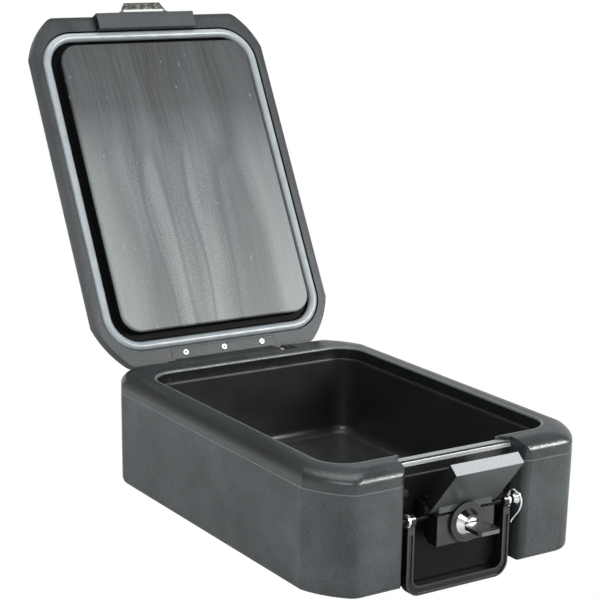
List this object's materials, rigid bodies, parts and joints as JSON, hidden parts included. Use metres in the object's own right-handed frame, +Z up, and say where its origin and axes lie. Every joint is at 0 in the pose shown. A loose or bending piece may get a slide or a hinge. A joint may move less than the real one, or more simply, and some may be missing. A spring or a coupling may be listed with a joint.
{
  "type": "fire-resistant cash box",
  "caption": "Deep lidded chest for money and papers, with a sealed lid hinged at the rear, a latch lever with a key lock and a hanging bail handle in a front bay.",
  "frame": {"origin": "on the floor under the middle of the body", "axes": "+X to the right along the short front, +Y from the front to the hinge, +Z up"},
  "size_m": [0.27, 0.5989, 0.4395],
  "materials": {
    "body_plastic": "fine moulded texture, dark grey",
    "liner_black": "semi-gloss black",
    "fill": "cast mineral fill, out of sight",
    "foot_rubber": "black rubber",
    "panel_grey": "grey with vertical flow marks",
    "seal_grey": "light bluish grey tube",
    "latch_dark": "satin dark grey",
    "handle_black": "satin black",
    "chrome": "polished",
    "steel": "bright zinc",
    "key_black": "black bow, bright blade"
  },
  "bodies": {
    "body": {"outer_shell": "body_plastic", "rim_frame": "body_plastic", "inner_liner": "liner_black", "body_insulation": "fill", "base_pad": "foot_rubber", "bay_plate": "liner_black", "plate_screws": "steel", "lock_block": "latch_dark", "lever_pin": "steel", "lock_cylinder": "chrome", "lock_nut": "steel", "handle_pins": "steel", "pin_caps": "chrome", "wire_clip": "steel", "hinge_pin": "steel"},
    "lid": {"lid_shell": "body_plastic", "lid_insulation": "fill", "lid_panel": "panel_grey", "seal_tube": "seal_grey", "hinge_leaf": "body_plastic", "leaf_screws": "steel", "striker": "steel", "striker_rivets": "steel"},
    "lever": {"latch_lever": "latch_dark"},
    "plug": {"lock_plug": "chrome", "lock_cam": "steel", "cam_screw": "steel"},
    "key": {"key": "key_black"},
    "handle": {"bail_handle": "handle_black"}
  },
  "joints": [
    {"name": "lid_hinge", "type": "hinge", "parent": "body", "child": "lid", "pos_m": [0, 0.187, 0.1095], "axis": [1, 0, 0], "range_deg": [0, 118.5]},
    {"name": "lever_pivot", "type": "hinge", "parent": "body", "child": "lever", "pos_m": [0, -0.171, 0.076], "axis": [-1, 0, 0], "range_deg": [0, 10.5]},
    {"name": "handle_swing", "type": "hinge", "parent": "body", "child": "handle", "pos_m": [0, -0.168, 0.067], "axis": [-1, 0, 0], "range_deg": [0, 110]},
    {"name": "plug_turn", "type": "hinge", "parent": "body", "child": "plug", "pos_m": [0, -0.1795, 0.0614], "axis": [0, 1, 0], "range_deg": [0, 90]},
    {"name": "key_slide", "type": "slide", "parent": "plug", "child": "key", "axis": [0, -1, 0], "range_m": [0, 0.02]}
  ]
}
